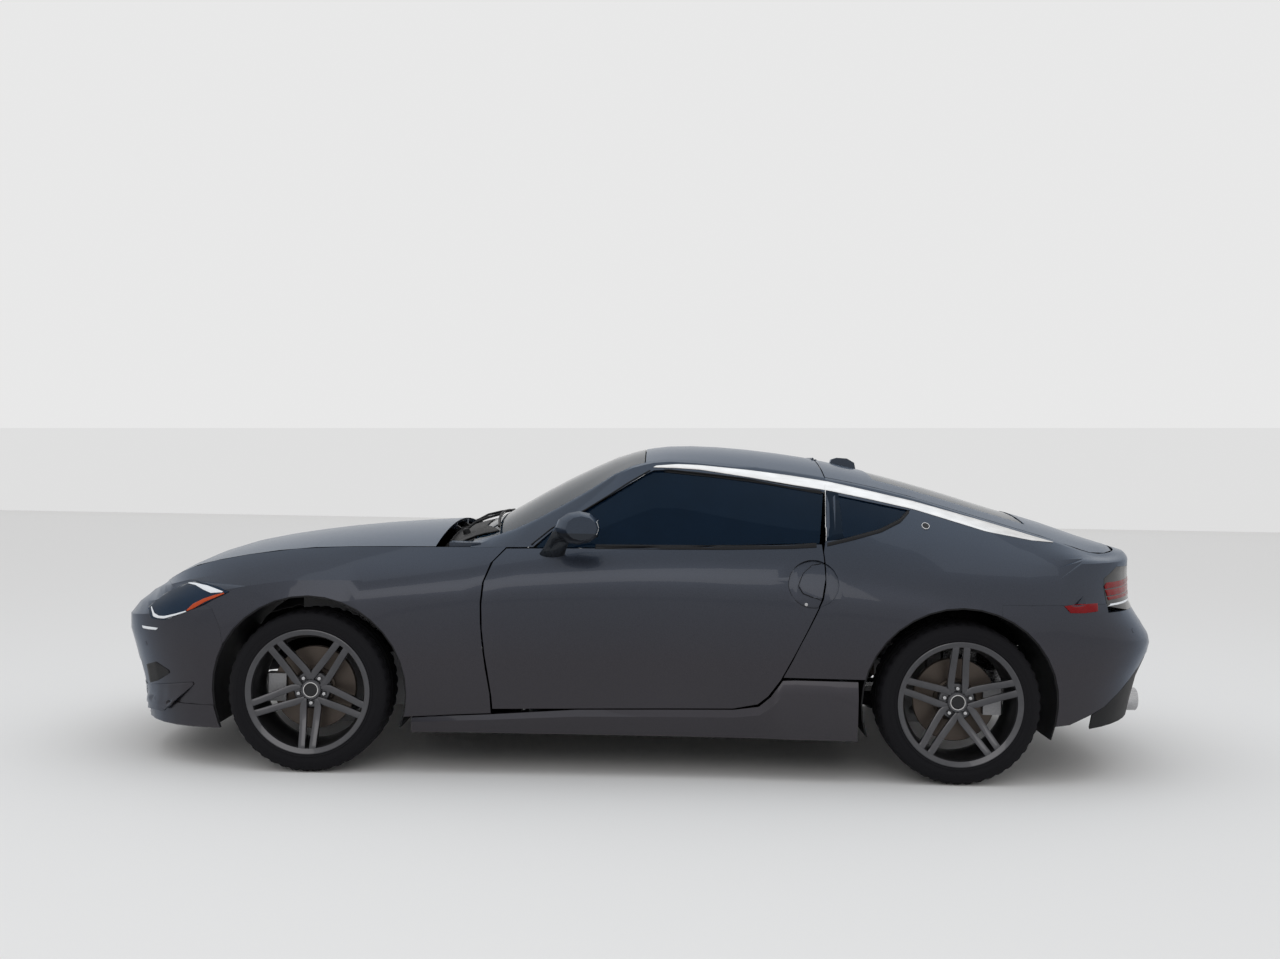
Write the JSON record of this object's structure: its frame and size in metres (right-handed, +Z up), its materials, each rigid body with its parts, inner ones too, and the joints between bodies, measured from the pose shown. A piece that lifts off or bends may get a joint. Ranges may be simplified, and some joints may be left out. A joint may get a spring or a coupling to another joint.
{
  "type": "coupe car",
  "caption": "Two-seat fastback coupe with hinged doors, hood and hatch, freely turning wheels and coupled steering.",
  "frame": {"origin": "on the ground under the middle of the car", "axes": "-X forwards, +Y to the car's right, +Z up"},
  "size_m": [4.3765, 2.0636, 1.3158],
  "materials": {
    "paint": "dark silver-grey metallic paint under clear coat",
    "dark_glass": "dark tinted glass",
    "lamp_lens": "clear lens over a dark lamp housing",
    "lamp_red": "red lens bars in a gloss black surround",
    "black_plastic": "black moulded plastic",
    "cabin_trim": "black soft trim",
    "seat_cover": "black leather",
    "cast_metal": "plain cast metal",
    "steel": "dull steel",
    "grey_alloy": "dark grey painted alloy",
    "tyre_rubber": "black tyre rubber"
  },
  "bodies": {
    "root": {"body_side_left": "paint", "body_side_right": "paint", "fender_left": "paint", "fender_right": "paint", "front_bumper": "paint", "rear_bumper": "paint", "roof": "paint", "side_skirt_left": "paint", "side_skirt_right": "paint", "windscreen": "dark_glass", "quarter_glass_left": "dark_glass", "quarter_glass_right": "dark_glass", "headlamp_left": "lamp_lens", "headlamp_right": "lamp_lens", "tail_lamps": "lamp_red", "grille": "black_plastic", "cowl": "black_plastic", "diffuser": "black_plastic", "floor_pan": "black_plastic", "wheel_well_front_left": "black_plastic", "wheel_well_front_right": "black_plastic", "wheel_well_rear_left": "black_plastic", "wheel_well_rear_right": "black_plastic", "dashboard": "cabin_trim", "seat_left": "seat_cover", "seat_right": "seat_cover", "engine": "cast_metal", "front_subframe": "steel", "rear_subframe": "steel", "exhaust": "steel"},
    "hood": {"hood": "paint"},
    "hatch": {"hatch": "paint", "hatch_glass": "dark_glass"},
    "door_left": {"door_left": "paint", "door_glass_left": "dark_glass", "mirror_left": "paint"},
    "door_right": {"door_right": "paint", "door_glass_right": "dark_glass", "mirror_right": "paint"},
    "steering_wheel": {"steering_wheel": "cabin_trim"},
    "knuckle_left": {"knuckle_left": "cast_metal"},
    "knuckle_right": {"knuckle_right": "cast_metal"},
    "wheel_front_left": {"rim_front_left": "grey_alloy", "tyre_front_left": "tyre_rubber"},
    "wheel_front_right": {"rim_front_right": "grey_alloy", "tyre_front_right": "tyre_rubber"},
    "wheel_rear_left": {"rim_rear_left": "grey_alloy", "tyre_rear_left": "tyre_rubber"},
    "wheel_rear_right": {"rim_rear_right": "grey_alloy", "tyre_rear_right": "tyre_rubber"}
  },
  "joints": [
    {"name": "hood_hinge", "type": "hinge", "parent": "root", "child": "hood", "pos_m": [-0.81135, 0, 0.93919], "axis": [0, 1, 0], "range_deg": [0, 50]},
    {"name": "hatch_hinge", "type": "hinge", "parent": "root", "child": "hatch", "pos_m": [0.7665, 0, 1.26756], "axis": [0, -1, 0], "range_deg": [0, 60]},
    {"name": "door_hinge_left", "type": "hinge", "parent": "root", "child": "door_left", "pos_m": [-0.53217, -0.852, 0.658], "axis": [0, 0, -1], "range_deg": [0, 62]},
    {"name": "door_hinge_right", "type": "hinge", "parent": "root", "child": "door_right", "pos_m": [-0.53217, 0.852, 0.658], "axis": [0, 0, 1], "range_deg": [0, 62]},
    {"name": "steer_left", "type": "hinge", "parent": "root", "child": "knuckle_left", "pos_m": [-1.275, -0.7, 0.318], "axis": [0, 0, 1], "range_deg": [-32, 32]},
    {"name": "steer_right", "type": "hinge", "parent": "root", "child": "knuckle_right", "pos_m": [-1.275, 0.7, 0.318], "axis": [0, 0, 1], "range_deg": [-32, 32]},
    {"name": "steering_turn", "type": "hinge", "parent": "root", "child": "steering_wheel", "pos_m": [-0.0438, -0.36005, 0.74], "axis": [0.9135, 0, 0.4067], "range_deg": [-448, 448]},
    {"name": "wheel_spin_front_left", "type": "hinge", "parent": "knuckle_left", "child": "wheel_front_left", "pos_m": [-1.275, -0.775, 0.318], "axis": [0, 1, 0], "continuous": true},
    {"name": "wheel_spin_front_right", "type": "hinge", "parent": "knuckle_right", "child": "wheel_front_right", "pos_m": [-1.275, 0.775, 0.318], "axis": [0, 1, 0], "continuous": true},
    {"name": "wheel_spin_rear_left", "type": "hinge", "parent": "root", "child": "wheel_rear_left", "pos_m": [1.275, -0.775, 0.318], "axis": [0, 1, 0], "continuous": true},
    {"name": "wheel_spin_rear_right", "type": "hinge", "parent": "root", "child": "wheel_rear_right", "pos_m": [1.275, 0.775, 0.318], "axis": [0, 1, 0], "continuous": true}
  ],
  "couplings": [
    {"joint": "steer_right", "follows": "steer_left", "ratio": 1},
    {"joint": "steering_turn", "follows": "steer_left", "ratio": 14}
  ]
}
